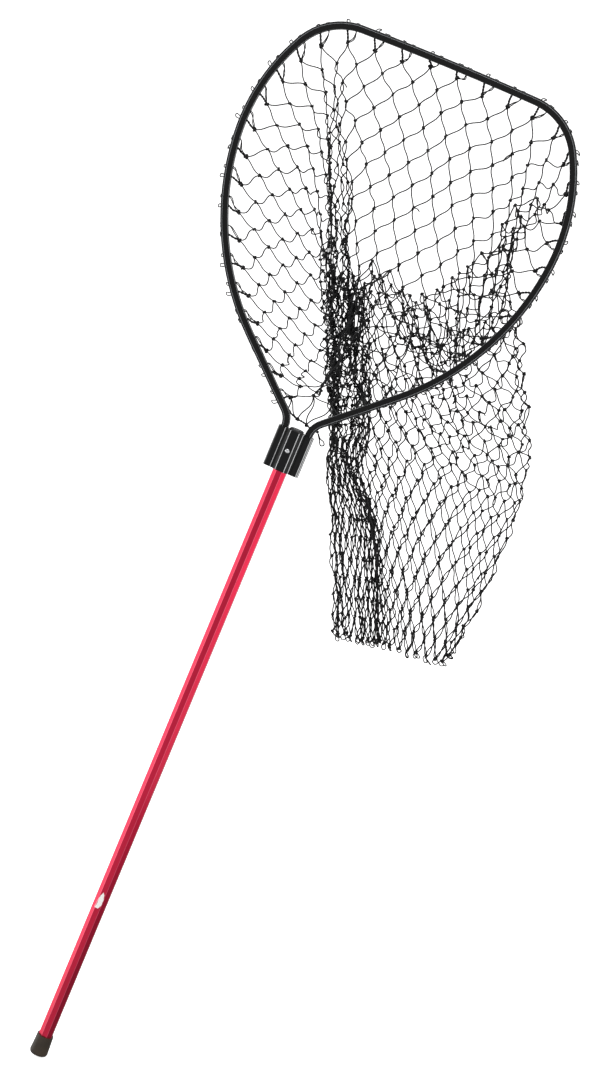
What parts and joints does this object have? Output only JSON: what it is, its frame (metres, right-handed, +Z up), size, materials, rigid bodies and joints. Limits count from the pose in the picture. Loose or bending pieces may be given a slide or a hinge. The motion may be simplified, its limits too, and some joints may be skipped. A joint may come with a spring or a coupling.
{
  "type": "landing net",
  "caption": "Landing net with a long octagonal handle through an extruded yoke, a rounded hoop with a straight front bar, and a deep knotted mesh bag; the hoop slides down the handle to stow.",
  "frame": {"origin": "centre of the butt cap's flat end face, where the handle rests or is held", "axes": "+Z up with the net held as it hangs: the handle rises from the origin, leaning 21 degrees towards +X and 10 degrees back towards +Y; the hoop's mouth faces -Y and the bag hangs straight down behind it"},
  "size_m": [0.8922, 0.3567, 1.7925],
  "materials": {
    "red_anodised_tube": "red anodised, satin",
    "black_vinyl": "dip-moulded vinyl",
    "black_plastic": "moulded",
    "blank_label": "plain film",
    "black_extrusion": "black anodised extrusion",
    "black_rail": "black anodised rail",
    "black_cord": "braided",
    "black_twine": "knotted, dipped twine",
    "plated_button": "nickel plated",
    "spring_steel": "rolled strip",
    "black_screw": "blackened"
  },
  "bodies": {
    "handle": {"handle_tube": "red_anodised_tube", "butt_cap": "black_vinyl", "top_plug": "black_plastic", "handle_label": "blank_label", "button_spring": "spring_steel"},
    "hoop_assembly": {"yoke": "black_extrusion", "hoop_rail": "black_rail", "retaining_cord": "black_cord", "net_bag": "black_twine", "leg_screw_1": "black_screw", "leg_screw_2": "black_screw", "leg_screw_3": "black_screw", "leg_screw_4": "black_screw"},
    "button": {"snap_button": "plated_button"}
  },
  "joints": [
    {"name": "hoop_slide", "type": "slide", "parent": "handle", "child": "hoop_assembly", "axis": [-0.3529, -0.1736, -0.9194], "range_m": [0, 0.63]},
    {"name": "button_press", "type": "slide", "parent": "handle", "child": "button", "axis": [-0.0622, 0.9848, -0.1621], "range_m": [0, 0.0055], "stiffness_N_per_m": 1500, "springref_m": -0.003, "deforming": ["button_spring"]}
  ]
}
